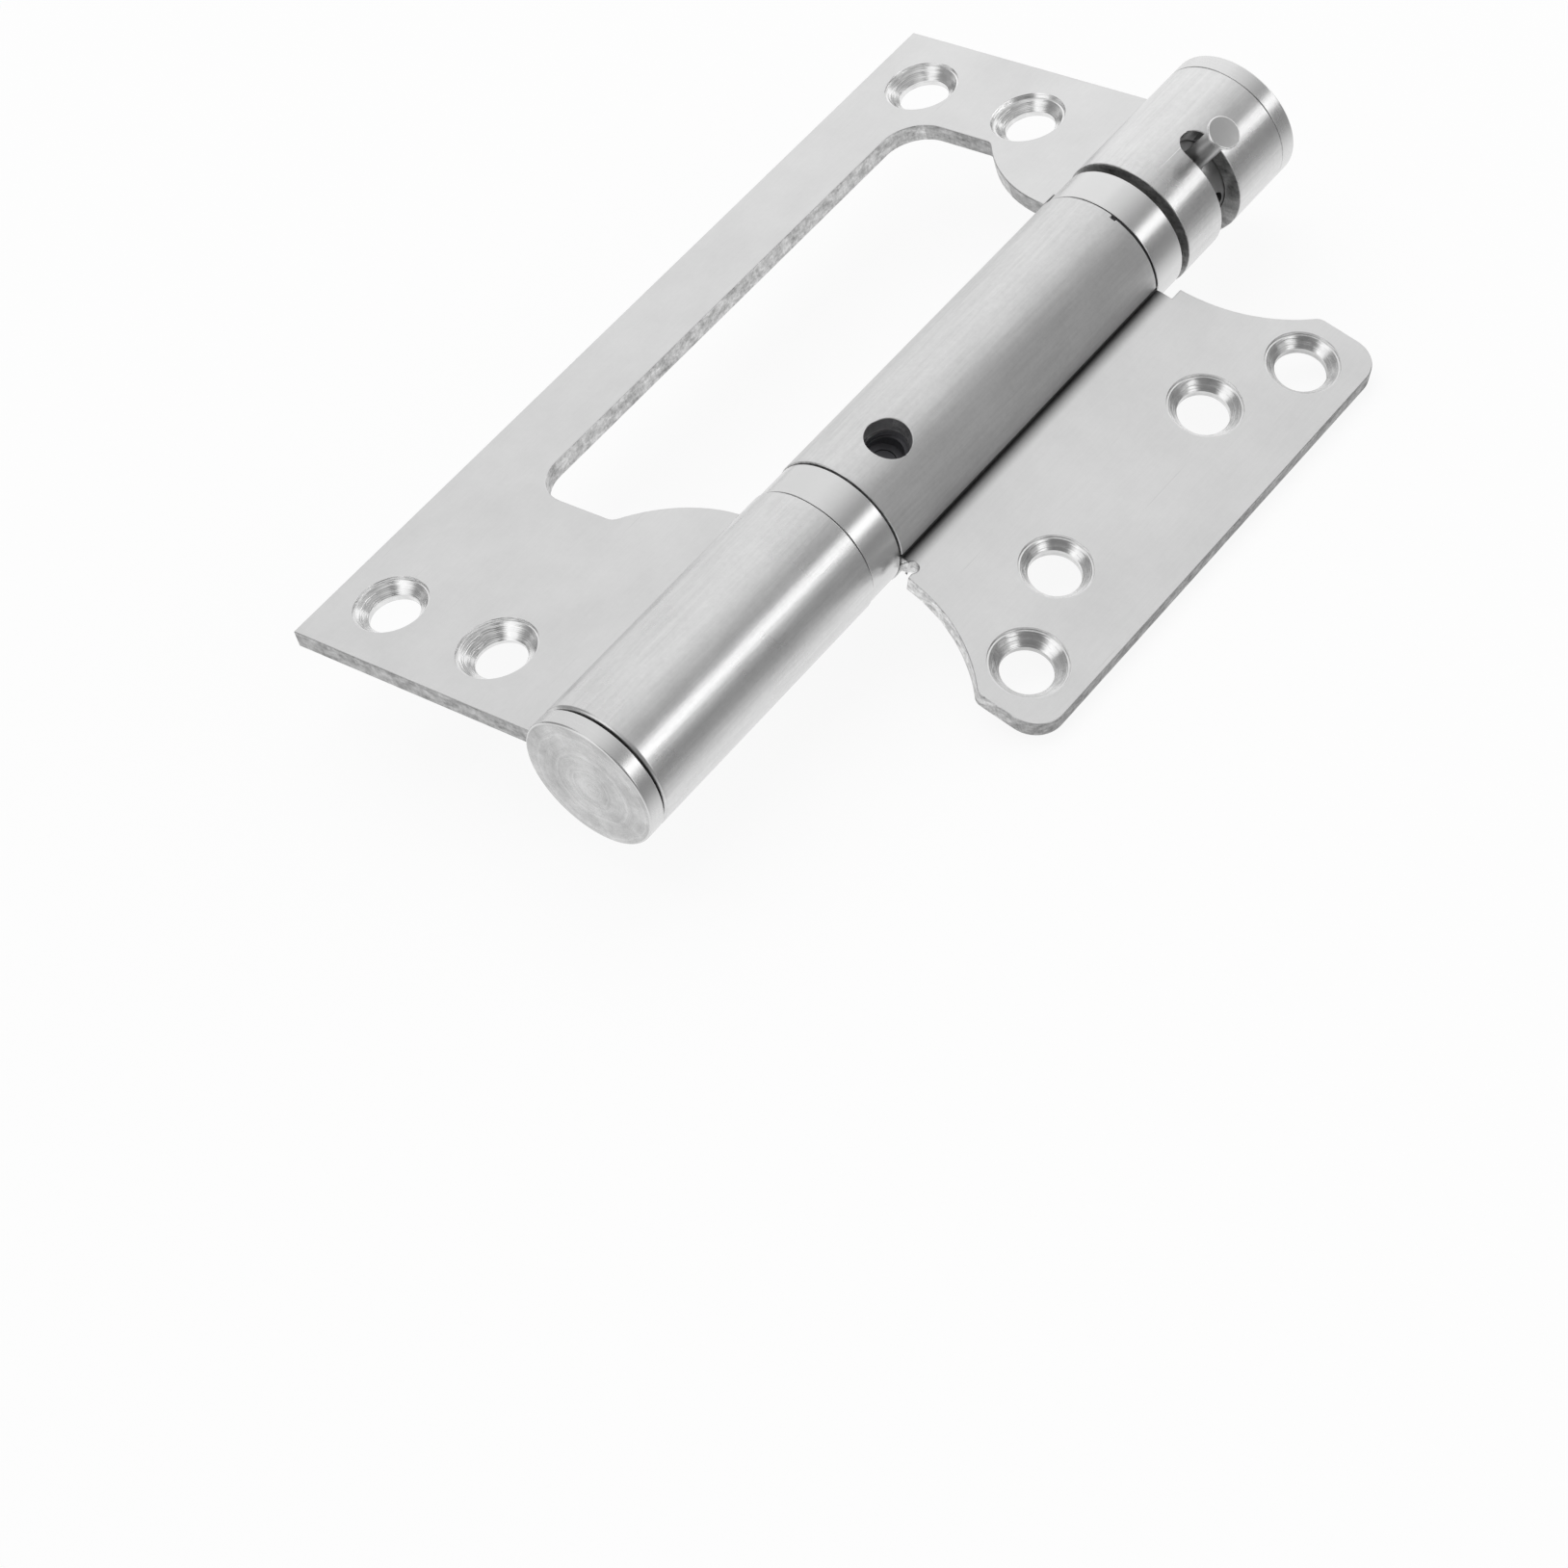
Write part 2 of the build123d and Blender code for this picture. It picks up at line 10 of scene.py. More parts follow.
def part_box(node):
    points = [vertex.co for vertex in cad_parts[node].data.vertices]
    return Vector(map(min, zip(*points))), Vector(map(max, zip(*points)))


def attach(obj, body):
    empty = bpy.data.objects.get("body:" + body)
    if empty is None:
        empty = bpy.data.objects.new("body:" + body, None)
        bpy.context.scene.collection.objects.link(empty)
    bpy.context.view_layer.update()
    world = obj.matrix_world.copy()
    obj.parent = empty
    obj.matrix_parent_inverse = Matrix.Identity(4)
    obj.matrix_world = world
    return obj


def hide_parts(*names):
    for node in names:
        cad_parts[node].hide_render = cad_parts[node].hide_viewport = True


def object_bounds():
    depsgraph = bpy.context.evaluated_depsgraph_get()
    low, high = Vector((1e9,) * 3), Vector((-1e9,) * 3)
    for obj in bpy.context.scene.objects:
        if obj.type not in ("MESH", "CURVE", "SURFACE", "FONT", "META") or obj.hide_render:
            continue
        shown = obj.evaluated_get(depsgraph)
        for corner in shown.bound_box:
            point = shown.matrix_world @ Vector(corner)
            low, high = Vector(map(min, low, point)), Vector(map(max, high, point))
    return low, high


bl_info = {
    "name": "Self-closing flush butt hinge",
    "version": (1, 0, 0),
    "blender": (4, 5, 0),
    "location": "3D View > Sidebar > Hinge",
    "description": "Dresses the packed hinge: leaves, turned pieces, works and stage",
    "category": "Object",
}

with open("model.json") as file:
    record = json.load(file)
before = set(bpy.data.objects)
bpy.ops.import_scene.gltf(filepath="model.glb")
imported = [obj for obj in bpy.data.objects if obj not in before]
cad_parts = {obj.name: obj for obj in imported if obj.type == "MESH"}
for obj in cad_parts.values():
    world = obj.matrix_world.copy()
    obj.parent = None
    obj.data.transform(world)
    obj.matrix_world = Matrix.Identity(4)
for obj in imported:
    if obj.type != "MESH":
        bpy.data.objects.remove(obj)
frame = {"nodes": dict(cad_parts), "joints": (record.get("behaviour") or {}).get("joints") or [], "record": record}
NODES = frame["nodes"]
CAD_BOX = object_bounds()

# Places from the frame, in metres
MM = 0.001
JOINTS = {joint["name"]: joint for joint in frame["joints"]}
MOUNTS = {mount["name"]: mount for mount in frame["record"]["mounts"]}
AXIS = Vector(JOINTS["leaf_hinge"]["pos_m"])
UP = Vector((0, 0, 1))
ALONG = Vector((0, 1, 0))
SMALL_LEAF_NORMAL = Vector(MOUNTS["inner_leaf_inner_screws"]["axis"])
FLOOR_Z = CAD_BOX[0].z
BARREL_R = (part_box("lower_end_cap")[1].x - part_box("lower_end_cap")[0].x) / 2

# Sizes in the source that the frame doesn't give: the sheet's thickness, how loose a cap's spigot sits in
# its knuckle, the radii of the two rings' bores, and the height of the tension pin's top above the axis
SHEET = 2.4 * MM
SPIGOT_PLAY = 0.03 * MM
NEAR_RING_BORE = 3.05 * MM
FAR_RING_BORE = 5.25 * MM
PIN_TOP = 15.0 * MM

# Angle between two faces from which their edge is a hard one
HARD_EDGE = radians(32)

# Order of a leaf's face materials
SHEET_FACE, CUT_EDGE, COUNTERSINK, SHEARED_END = range(4)

# Reflectance of the knuckles of both leaves
KNUCKLE_LEVEL = 0.70

# Bearing of the camera from the frame's origin, in degrees from X
CAMERA_BEARING = -39.8

# Brightness of the cards by the angle above the horizontal at which the barrel sees them, in degrees
CARD_LEVELS = (
    (-60, 1.0), (-46, 0.97), (-32, 0.72), (-20, 0.37), (0, 0.21), (22, 0.19),
    (34, 0.27), (46, 0.39), (58, 0.56), (70, 0.74), (85, 0.88), (120, 1.0),
)

# Levels of the front screen by its bearing from the camera's own, in degrees, and the brightness of a 1
SCREEN_LEVELS = (
    (-150, 0.62), (-138, 0.30), (-115, 0.25), (-95, 0.28), (-87, 0.62), (-78, 0.85), (-66, 0.92),
    (-50, 1.0), (-42, 0.62), (-33, 0.22), (-18, 0.18), (0, 0.17), (14, 0.18), (24, 0.36),
    (44, 0.44), (66, 0.48),
)
SCREEN_BRIGHTEST = 1.25


# Sockets and nodes

class Value:
    """One output socket. Sums on it add Math nodes."""

    def __init__(self, graph, socket):
        self.graph = graph
        self.socket = socket

    def _math(self, operation, first, second=0.0):
        return self.graph.node("ShaderNodeMath", {"operation": operation}, {0: first, 1: second})

    def __add__(self, other):
        return self._math("ADD", self, other)

    def __sub__(self, other):
        return self._math("SUBTRACT", self, other)

    def __mul__(self, other):
        return self._math("MULTIPLY", self, other)

    def __truediv__(self, other):
        return self._math("DIVIDE", self, other)

    def __radd__(self, other):
        return self._math("ADD", other, self)

    def __rsub__(self, other):
        return self._math("SUBTRACT", other, self)

    def __rmul__(self, other):
        return self._math("MULTIPLY", other, self)

    def __rtruediv__(self, other):
        return self._math("DIVIDE", other, self)

    def sqrt(self):
        return self._math("SQRT", self)

    def arctan2(self, other):
        return self._math("ARCTAN2", self, other)

    def clamped(self):
        return self.graph.node("ShaderNodeClamp", {}, {0: self, 1: 0.0, 2: 1.0})

    def ramp(self, low, high):
        """0 up to low and 1 from high on, with a soft step between."""
        settings = {"interpolation_type": "SMOOTHSTEP"}
        values = {0: self, 1: low, 2: high, 3: 0.0, 4: 1.0}
        return self.graph.node("ShaderNodeMapRange", settings, values)


class Graph:
    """The node tree of a material or world, built by calls."""

    def __init__(self, tree):
        self.tree = tree
        tree.nodes.clear()

    def node(self, kind, settings, values, output=0):
        """Adds a node: its settings first, then the numbers or links of its sockets."""
        node = self.tree.nodes.new(kind)
        for name, setting in settings.items():
            if name == "stops":
                elements = node.color_ramp.elements
                elements[0].position = setting[0][0]
                elements[0].color = (setting[0][1],) * 3 + (1,)
                elements[1].position = setting[-1][0]
                elements[1].color = (setting[-1][1],) * 3 + (1,)
                for place, level in setting[1:-1]:
                    elements.new(place).color = (level,) * 3 + (1,)
            else:
                setattr(node, name, setting)
        for name, value in values.items():
            if isinstance(value, Value):
                self.tree.links.new(value.socket, node.inputs[name])
            else:
                node.inputs[name].default_value = value
        return Value(self, node.outputs[output]) if len(node.outputs) else None

    def grey(self, level):
        """The same level in all three channels."""
        return self.node("ShaderNodeCombineColor", {}, {0: level, 1: level, 2: level})

    def tint(self, colour, level):
        """A colour made lighter or darker by a level."""
        settings = {"data_type": "RGBA", "blend_type": "MULTIPLY"}
        return self.node("ShaderNodeMix", settings, {0: 1.0, 6: colour, 7: self.grey(level)}, 2)

    def levels(self, value, pairs):
        """The level at a value, from pairs of a value and its level in rising order."""
        low, high = pairs[0][0], pairs[-1][0]
        stops = [((place - low) / (high - low), level) for place, level in pairs]
        share = (value - low) / (high - low)
        return self.node("ShaderNodeValToRGB", {"stops": stops}, {0: share})

    def place(self):
        """Object coordinates in millimetres."""
        coordinates = self.node("ShaderNodeTexCoord", {}, {}, "Object")
        return self.node("ShaderNodeVectorMath", {"operation": "SCALE"}, {0: coordinates, 3: 1 / MM})

    def from_point(self, centre=AXIS):
        """Millimetres from a point, as x, y and z."""
        settings = {"operation": "SUBTRACT"}
        shifted = self.node("ShaderNodeVectorMath", settings, {0: self.place(), 1: centre / MM})
        return [self.node("ShaderNodeSeparateXYZ", {}, {0: shifted}, i) for i in range(3)]

    def vector(self, x, y, z):
        return self.node("ShaderNodeCombineXYZ", {}, {0: x, 1: y, 2: z})

    def stretched(self, x, y, z, turn=0.0):
        """Object coordinates in millimetres, turned about the barrel and scaled by axis."""
        settings = {"vector_type": "POINT"}
        values = {0: self.place(), 2: (0.0, turn, 0.0), 3: (x, y, z)}
        return self.node("ShaderNodeMapping", settings, values)

    def noise(self, vector, scale=1.0, detail=2.0, roughness=0.5, distortion=0.0):
        """Noise about 0, from -0.5 to 0.5."""
        values = {
            "Vector": vector,
            "Scale": scale,
            "Detail": detail,
            "Roughness": roughness,
            "Distortion": distortion,
        }
        return self.node("ShaderNodeTexNoise", {}, values) - 0.5

    def bump(self, height, depth):
        """A normal from a height, where a height of 1 stands depth millimetres proud."""
        return self.node("ShaderNodeBump", {}, {"Distance": depth * MM, "Height": height})


def distance(x, z):
    """Distance from a line along Y."""
    return (x * x + z * z).sqrt()


def new_material(name, surface):
    """A material whose surface is the shader that surface(graph) returns."""
    material = bpy.data.materials.new(name)
    material.use_nodes = True
    graph = Graph(material.node_tree)
    graph.node("ShaderNodeOutputMaterial", {}, {"Surface": surface(graph)})
    return material


def finish_material(name, paint):
    """A finish, where paint(graph) returns the values of its shader's sockets."""
    return new_material(name, lambda graph: graph.node("ShaderNodeBsdfPrincipled", {}, paint(graph)))


# Finishes

def metal(colour, roughness, normal):
    return {"Metallic": 1.0, "Base Color": colour, "Roughness": roughness, "Normal": normal}


def sheet_paint(level, roughness, turn, knuckle_roughness):
    """Rolled stainless sheet: grain along the barrel, cloudy patches, scratches, a smoother knuckle, and painted
    shade by the seam.
    """
    barrel = BARREL_R / MM
    half_sheet = SHEET / 2 / MM

    def paint(graph):
        x, _, z = graph.from_point()
        on_knuckle = 1 - distance(x, z).ramp(barrel + 0.1, barrel + 2.2)
        grain = graph.noise(graph.stretched(5.0, 0.22, 5.0, turn), 1.0, 3.0, 0.6)
        cloud = graph.noise(graph.stretched(1.0, 1.0, 1.0, turn), 0.09, 4.0, 0.62)
        speck = graph.noise(graph.stretched(1.0, 1.0, 1.0, turn), 1.6, 3.0, 0.7)
        drawn_line = graph.noise(graph.stretched(1.7, 0.10, 1.7, turn), 1.0, 3.0, 0.7) * on_knuckle
        scratch_line = graph.noise(graph.stretched(2.4, 0.05, 2.4, turn), 1.0, 1.0, 0.5, 0.4)
        scratch = scratch_line.ramp(0.235, 0.29) * cloud.ramp(-0.02, 0.08) * (1 - on_knuckle)
        tone = 1 + cloud * 0.22 + grain * 0.07 + speck * (0.06 + on_knuckle * 0.12)
        tone = tone + drawn_line * 0.26 - scratch * 0.08
        shade = level + on_knuckle * (KNUCKLE_LEVEL - level)
        rough = roughness + on_knuckle * (knuckle_roughness - roughness)
        rough = rough + cloud * 0.10 + speck * (1 - on_knuckle) * 0.06 + scratch * 0.06
        height = (grain * 0.6 + speck * 0.4) * (1 - on_knuckle) + drawn_line * 0.9 - scratch * 0.5
        # Painted shade: the sheet's colour is darkened in the corner beside the knuckle's free end, where shade
        # falls by the seam.
        outward = x * cos(turn) + z * sin(turn)
        above = z * cos(turn) - x * sin(turn)
        on_flat = above.ramp(half_sheet - 0.2, half_sheet - 0.1)
        on_flat = on_flat * (1 - above.ramp(half_sheet + 0.05, half_sheet + 0.2))
        corner = 1 - outward.ramp(barrel - 0.1, barrel + 2.2)
        painted_corner_shade = 1 - corner * on_flat * outward.ramp(0.0, 1.0) * 0.8
        return metal(graph.grey(shade * tone * painted_corner_shade), rough, graph.bump(height, 0.009))

    return paint


def cut_edge_paint(level, turn):
    """Blanked edge: shear lines down the thickness, with rough patches and grit."""

    def paint(graph):
        lines = graph.noise(graph.stretched(2.2, 2.2, 0.15, turn), 1.0, 3.0, 0.6)
        patch = graph.noise(graph.stretched(0.45, 0.45, 1.0, turn), 1.0, 4.0, 0.7)
        grit = graph.noise(graph.place(), 2.6, 3.0, 0.7)
        tone = 1 + lines * 0.5 + patch * 2.2 + grit * 0.9
        rough = 0.42 + patch * 0.2 + lines * 0.1
        height = lines * 0.6 + patch * 0.6 + grit * 0.5
        return metal(graph.grey(level * tone), rough, graph.bump(height, 0.03))

    return paint


def countersink_paint(turn):
    """Machined countersink: bright, with the cutter's rings at each depth."""

    def paint(graph):
        settings = {"vector_type": "POINT"}
        turned = graph.node("ShaderNodeMapping", settings, {0: graph.place(), 2: (0.0, turn, 0.0)})
        depth = graph.node("ShaderNodeSeparateXYZ", {}, {0: turned}, 2)
        wander = graph.noise(graph.place(), 0.35, 1.0)
        rings = graph.noise(graph.vector(0.0, 0.0, depth * 2.1 + wander * 1.1), 1.0, 3.0, 0.6)
        fine = graph.noise(graph.vector(0.0, 5.0, depth * 9.0 + wander * 1.5), 1.0, 2.0, 0.6)
        patch = graph.noise(graph.place(), 0.55, 2.0, 0.6)
        tone = 1 + rings * 0.35 + patch * 0.4
        rough = 0.17 + rings * 0.12 + patch * 0.12
        height = rings * 3.6 + fine * 0.8 + patch * 0.6
        return metal(graph.grey(0.80 * tone), rough, graph.bump(height, 0.03))

    return paint


def turned_paint(level, roughness, ring_height=1.0):
    """Turned on a lathe about the barrel: rings round the sides and on the faces."""

    def paint(graph):
        x, y, z = graph.from_point()
        radius = distance(x, z)
        smear = graph.noise(graph.place(), 0.16, 3.0, 0.6)
        round_rings = graph.noise(graph.vector(radius * 1.1, smear * 1.6, 0.0), 1.0, 4.0, 0.62)
        side_rings = graph.noise(graph.vector(y * 5.0, smear * 0.5, 3.0), 1.0, 3.0, 0.6)
        speck = graph.noise(graph.place(), 2.4, 2.0, 0.6)
        tone = 1 + round_rings * 0.10 + side_rings * 0.05 + smear * 0.07 + speck * 0.03
        rough = roughness + smear * 0.06 + round_rings * 0.06
        height = (round_rings + side_rings * 0.5) * ring_height + speck * 0.12
        return metal(graph.grey(level * tone), rough, graph.bump(height, 0.02))

    return paint


def cap_paint(face_level, side_level, roughness):
    """Faced on a lathe: rings of uneven depth about a centre a little off the axis, with smears."""
    off_centre = AXIS + Vector((0.35, 0.0, -0.5)) * MM
    barrel = BARREL_R / MM

    def paint(graph):
        x, y, z = graph.from_point(off_centre)
        radius = distance(x, z)
        smear = graph.noise(graph.place(), 0.22, 3.0, 0.6)
        wander = graph.noise(graph.place(), 0.3, 2.0)
        rings = graph.noise(graph.vector(radius * 1.1 + wander * 1.5, 0.0, 0.0), 1.0, 4.0, 0.7)
        fine = graph.noise(graph.vector(radius * 4.5 + wander * 3.0, 4.0, 0.0), 1.0, 2.0, 0.6)
        side = graph.noise(graph.vector(y * 5.0, smear * 0.5, 3.0), 1.0, 3.0, 0.6)
        speck = graph.noise(graph.place(), 2.6, 3.0, 0.65)
        x, _, z = graph.from_point()
        on_side = distance(x, z).ramp(barrel - 0.35, barrel - 0.15)
        on_face = 1 - on_side
        face_tone = rings * 0.9 + fine * 0.2 + smear * 1.1 + speck * 0.3
        tone = 1 + on_face * face_tone + side * on_side * 0.2
        level = face_level + on_side * (side_level - face_level)
        rough = roughness + smear * 0.08 + rings * 0.10 * on_face
        height = (rings * 3.0 + fine * 1.0 + speck * 0.3) * on_face + side * on_side * 0.4
        return metal(graph.grey(level * tone), rough, graph.bump(height, 0.03))

    return paint


def pin_paint(start, axis, rim):
    """Turned pin: a darker, evenly ground head with a brighter, smoother rim."""

    def paint(graph):
        x, y, z = graph.from_point(start)
        height = x * axis.x + y * axis.y + z * axis.z
        radius = (x * x + y * y + z * z - height * height).sqrt()
        on_rim = radius.ramp(rim / MM - 0.20, rim / MM - 0.10)
        grind = graph.noise(graph.place(), 3.0, 4.0, 0.65)
        patch = graph.noise(graph.place(), 0.6, 2.0)
        tone = 1 + grind * 0.10 + patch * 0.08
        level = (0.50 + on_rim * 0.34) * tone
        rough = 0.38 + grind * 0.1 - on_rim * 0.1
        return metal(graph.grey(level), rough, graph.bump(grind, 0.012))

    return paint


def drawn_paint(colour, roughness):
    """Drawn wire or rod: fine lines along the barrel and small patches."""

    def paint(graph):
        lines = graph.noise(graph.stretched(4.0, 0.5, 4.0), 1.0, 3.0, 0.6)
        patch = graph.noise(graph.place(), 0.5, 3.0, 0.6)
        tone = 1 + lines * 0.12 + patch * 0.2
        return metal(graph.tint(colour, tone), roughness + patch * 0.14, graph.bump(lines, 0.01))

    return paint


def cast_paint(colour, roughness):
    """Cast and machined alloy: a fine even grain."""

    def paint(graph):
        grain = graph.noise(graph.place(), 3.0, 3.0, 0.6)
        patch = graph.noise(graph.place(), 0.3, 2.0)
        tone = 1 + grain * 0.10 + patch * 0.10
        return metal(graph.tint(colour, tone), roughness + grain * 0.16, graph.bump(grain, 0.02))

    return paint


def moulded_paint(colour, roughness):
    """Moulded plastic or rubber: a faint orange-peel skin."""

    def paint(graph):
        skin = graph.noise(graph.place(), 2.2, 2.0)
        patch = graph.noise(graph.place(), 0.4, 3.0, 0.6)
        return {
            "Base Color": graph.tint(colour, 1 + skin * 0.06 + patch * 0.12),
            "Roughness": roughness + skin * 0.12 + patch * 0.08,
            "Normal": graph.bump(skin, 0.02),
        }

    return paint


# Mesh help

def new_object(name, bm, materials):
    """An object at the origin with the faces of a bmesh, which is freed."""
    mesh = bpy.data.meshes.new(name)
    bm.to_mesh(mesh)
    bm.free()
    for material in materials:
        mesh.materials.append(material)
    thing = bpy.data.objects.new(name, mesh)
    bpy.context.scene.collection.objects.link(thing)
    return thing


def new_piece(name, bm, materials, body):
    """An object that rides on a body."""
    piece = new_object(name, bm, materials)
    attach(piece, body)
    return piece


def shade(piece):
    """Smooth faces between the hard edges, and normals weighted by face area."""
    mesh = piece.data
    mesh.polygons.foreach_set("use_smooth", [True] * len(mesh.polygons))
    mesh.set_sharp_from_angle(angle=HARD_EDGE)
    weighted = piece.modifiers.new("Even normals", "WEIGHTED_NORMAL")
    weighted.keep_sharp = True
    weighted.weight = 100


def edge_middle(edge):
    return (edge.verts[0].co + edge.verts[1].co) / 2


def mark_hard_edges(bm, centres, clear):
    """Marks the hard edges for the edge break, but for those within clear of a screw hole's centre."""
    weight = bm.edges.layers.float.new("bevel_weight_edge")
    for edge in bm.edges:
        near = any((edge_middle(edge) - centre).length < clear for centre in centres)
        if edge.calc_face_angle(0.0) > HARD_EDGE and not near:
            edge[weight] = 1.0


def on_surface(face, normal):
    """Whether a face lies in the upper or lower side of a leaf's sheet."""
    height = abs((face.calc_center_median() - AXIS).dot(normal))
    at_side = abs(height - SHEET / 2) < 0.05 * MM
    return at_side and abs(face.normal.dot(normal)) > 0.97


def ease_corners(bm, normal, beyond, width):
    """Rounds a leaf's sharp upright corners that lie further than a distance from its middle along Y."""
    middle = (min(v.co.y for v in bm.verts) + max(v.co.y for v in bm.verts)) / 2
    corners = []
    for edge in bm.edges:
        direction = (edge.verts[1].co - edge.verts[0].co).normalized()
        upright = abs(direction.dot(normal)) > 0.999
        sharp = edge.calc_face_angle(0.0) > HARD_EDGE
        if sharp and upright and abs(edge_middle(edge).y - middle) > beyond:
            corners.append(edge)
    bmesh.ops.bevel(
        bm, geom=corners, offset=width, affect="EDGES", segments=4, profile=0.5, material=-1,
        clamp_overlap=True,
    )


def border_flats(bm, normal, width):
    """Lays a border of even width inside the flat faces, so that an edge break stays clean."""
    flats = [face for face in bm.faces if on_surface(face, normal)]
    bmesh.ops.inset_region(
        bm, faces=flats, thickness=width, use_boundary=True, use_even_offset=True
    )


def break_edges(piece, width):
    """Takes the sharpness off the marked edges."""
    bevel = piece.modifiers.new("Edge break", "BEVEL")
    bevel.width = width
    bevel.segments = 2
    bevel.limit_method = "WEIGHT"
    bevel.use_clamp_overlap = False


def merged_copy(node):
    """A bmesh copy of a node with its loose triangles joined into faces."""
    weld, flat = 2e-6, radians(0.6)
    bm = bmesh.new()
    bm.from_mesh(NODES[node].data)
    bmesh.ops.remove_doubles(bm, verts=bm.verts, dist=weld)
    bmesh.ops.dissolve_limit(bm, angle_limit=flat, verts=bm.verts, edges=bm.edges)
    for layer in list(bm.loops.layers.uv):
        bm.loops.layers.uv.remove(layer)
    return bm


def spun(profile, start, axis, steps):
    """A piece turned from (radius, height) corners about an axis through start."""
    across = axis.orthogonal().normalized()
    bm = bmesh.new()
    points = [bm.verts.new(start + axis * h + across * r) for r, h in profile]
    edges = [bm.edges.new(pair) for pair in zip(points, points[1:])]
    if profile[0][0] > 0:
        edges.append(bm.edges.new((points[-1], points[0])))
    bmesh.ops.spin(
        bm, geom=points + edges, cent=start, axis=axis, angle=2 * pi, steps=steps, use_merge=True
    )
    bmesh.ops.remove_doubles(bm, verts=bm.verts, dist=1e-7)
    bmesh.ops.recalc_face_normals(bm, faces=bm.faces)
    return bm


def dress(node, material):
    """Gives a node that is shown as it is its finish."""
    mesh = NODES[node].data
    mesh.materials.clear()
    mesh.materials.append(material)


def screw_centres(*names):
    """Centres of the screw holes of one or more mounts."""
    centres = []
    for name in names:
        middle = Vector(MOUNTS[name]["pos_m"])
        dims = MOUNTS[name]["dims"]
        if "pcd_mm" in dims:
            offsets = [(0, side * dims["pcd_mm"] / 2) for side in (-1, 1)]
        else:
            half_x, half_y = dims["spacing_x_mm"] / 2, dims["spacing_y_mm"] / 2
            offsets = [(i * half_x, j * half_y) for i in (-1, 1) for j in (-1, 1)]
        centres += [middle + Vector((x, y, 0)) * MM for x, y in offsets]
    return centres


# Settings that a user would change

class HingeSettings(bpy.types.PropertyGroup):
    edge_break: FloatProperty(
        name="Edge break", description="Width taken off the sheet's hard edges",
        default=0.12 * MM, min=0.0, unit="LENGTH", precision=5,
    )
    turned_edge: FloatProperty(
        name="Ring rounding", description="Radius of the bearing rings' edges",
        default=0.12 * MM, min=0.0, unit="LENGTH", precision=5,
    )
    cap_rounding: FloatProperty(
        name="Cap rounding", description="Radius of the end caps' rims",
        default=0.3 * MM, min=0.0, unit="LENGTH", precision=5,
    )
    sheet_level: FloatProperty(
        name="Sheet brightness", description="Reflectance of the large leaf",
        default=0.70, min=0.0, max=1.0, subtype="FACTOR",
    )
    small_sheet_level: FloatProperty(
        name="Small leaf brightness", description="Reflectance of the small leaf",
        default=0.75, min=0.0, max=1.0, subtype="FACTOR",
    )
    knuckle_roughness: FloatProperty(
        name="Knuckle roughness", description="Roughness of the large leaf's knuckles",
        default=0.28, min=0.0, max=1.0, subtype="FACTOR",
    )
    spring_colour: FloatVectorProperty(
        name="Spring colour", description="Colour of the closing spring",
        default=(0.20, 0.205, 0.22), size=3, min=0.0, max=1.0, subtype="COLOR",
    )
    turning_steps: IntProperty(
        name="Turning steps", description="Flats round each turned piece", default=144, min=24,
    )


# Leaves

def near_hole(place, centres, normal, reach):
    """Whether a place lies within reach of a screw hole's middle line."""
    gaps = [place - centre for centre in centres]
    return any((gap - normal * gap.dot(normal)).length < reach for gap in gaps)


def paint_leaf(bm, normal, centres):
    """Gives each face of a leaf its material."""
    for face in bm.faces:
        middle = face.calc_center_median()
        flat = on_surface(face, normal)
        from_axis = Vector((middle.x - AXIS.x, 0, middle.z - AXIS.z))
        in_sheet = abs(from_axis.dot(normal)) < 1.3 * MM and from_axis.length > BARREL_R + 1.0 * MM
        upright = abs(face.normal.dot(normal)) < 0.3
        if near_hole(middle, centres, normal, 5.6 * MM) and not flat:
            face.material_index = COUNTERSINK
        elif abs(face.normal.y) > 0.9:
            face.material_index = SHEARED_END
        elif in_sheet and upright and not flat:
            face.material_index = CUT_EDGE
        else:
            face.material_index = SHEET_FACE


def make_leaf(name, node, normal, centres, materials, edge_break):
    bm = merged_copy(node)
    if node == "inner_leaf":
        ease_corners(bm, normal, beyond=35.0 * MM, width=0.6 * MM)
    border_flats(bm, normal, 2 * edge_break)
    paint_leaf(bm, normal, centres)
    mark_hard_edges(bm, centres, clear=6.0 * MM)
    leaf = new_piece(name, bm, materials, node)
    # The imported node's own normals don't fit the merged faces.
    mesh = leaf.data
    if "custom_normal" in mesh.attributes:
        mesh.attributes.remove(mesh.attributes["custom_normal"])
    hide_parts(node)
    break_edges(leaf, edge_break)
    shade(leaf)


def leaf_steels(leaf, sheet, cut_level, sheared_level, turn):
    """A leaf's materials, in the order of its face materials."""
    paints = {
        "sheet": sheet,
        "cut_edge": cut_edge_paint(cut_level, turn),
        "countersink": countersink_paint(turn),
        "sheared_end": cut_edge_paint(sheared_level, turn),
    }
    return [finish_material(f"{leaf}_{place}", paint) for place, paint in paints.items()]


